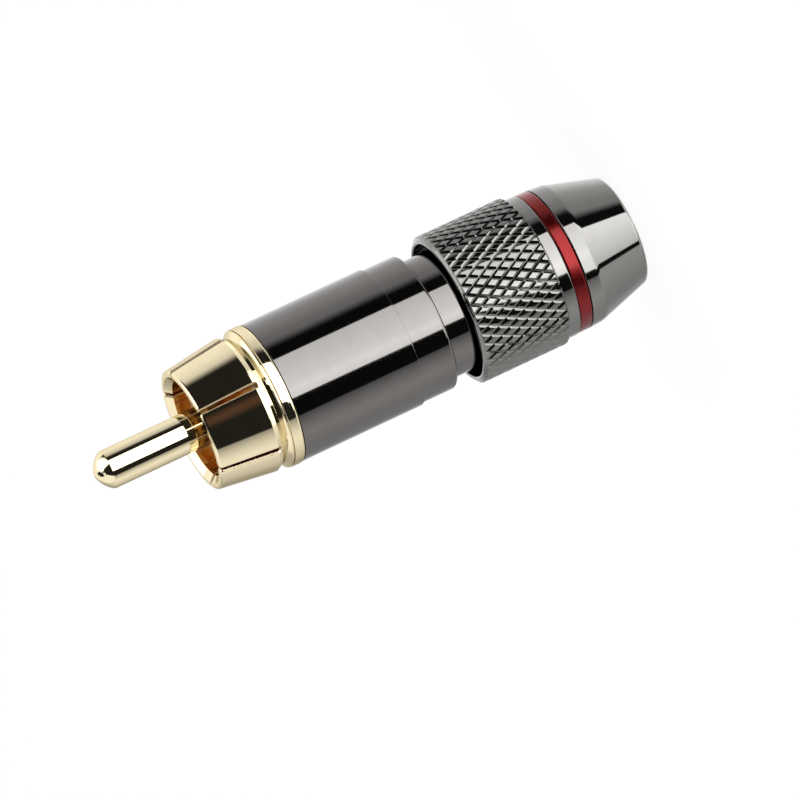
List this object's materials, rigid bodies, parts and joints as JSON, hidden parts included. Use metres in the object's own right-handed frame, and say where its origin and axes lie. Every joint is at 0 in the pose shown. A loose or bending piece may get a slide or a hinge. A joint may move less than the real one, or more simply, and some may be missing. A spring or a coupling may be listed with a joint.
{
  "type": "phono plug",
  "caption": "Phono plug: pin in a slit spring shell, smooth barrel, diamond-knurled clamp nut, coloured ring and a conical tail with a cord bore.",
  "frame": {"origin": "centre of the tail's end face, on which the plug stands", "axes": "+Z along the plug's axis, from the tail towards the pin; one slit of the shell lies towards +X"},
  "size_m": [0.0126, 0.0126, 0.0473],
  "materials": {
    "gold_plate": "polished gold plate on brass",
    "black_plate": "mirror-bright black plate",
    "red_ring": "glossy red",
    "insulator": "satin white",
    "liner": "satin black",
    "collet": "satin natural"
  },
  "bodies": {
    "contacts": {"center_pin": "gold_plate", "front_insulator": "insulator", "rear_insulator": "insulator", "ground_shell": "gold_plate", "ground_lug": "gold_plate"},
    "liner": {"insulating_liner": "liner"},
    "barrel": {"barrel": "black_plate", "gland_body": "black_plate"},
    "collet": {"cable_collet": "collet"},
    "nut": {"clamp_nut": "black_plate", "colour_ring": "red_ring", "tail_cap": "black_plate"}
  },
  "joints": [
    {"name": "nut_turn", "type": "hinge", "parent": "nut", "child": "collet", "pos_m": [0, 0, 0.0118], "axis": [0, 0, 1], "range_deg": [-640, 720]},
    {"name": "nut_travel", "type": "slide", "parent": "collet", "child": "barrel", "axis": [0, 0, 1], "range_m": [-0.00135, 0.00155]},
    {"name": "barrel_turn", "type": "hinge", "parent": "barrel", "child": "liner", "pos_m": [0, 0, 0.0263], "axis": [0, 0, 1], "range_deg": [0, 1440]},
    {"name": "barrel_travel", "type": "slide", "parent": "liner", "child": "contacts", "axis": [0, 0, 1], "range_m": [0, 0.0031]}
  ],
  "couplings": [
    {"joint": "barrel_travel", "follows": "barrel_turn", "m_per_rad": 0.00011937},
    {"joint": "nut_travel", "follows": "nut_turn", "m_per_rad": 0.00011937}
  ]
}
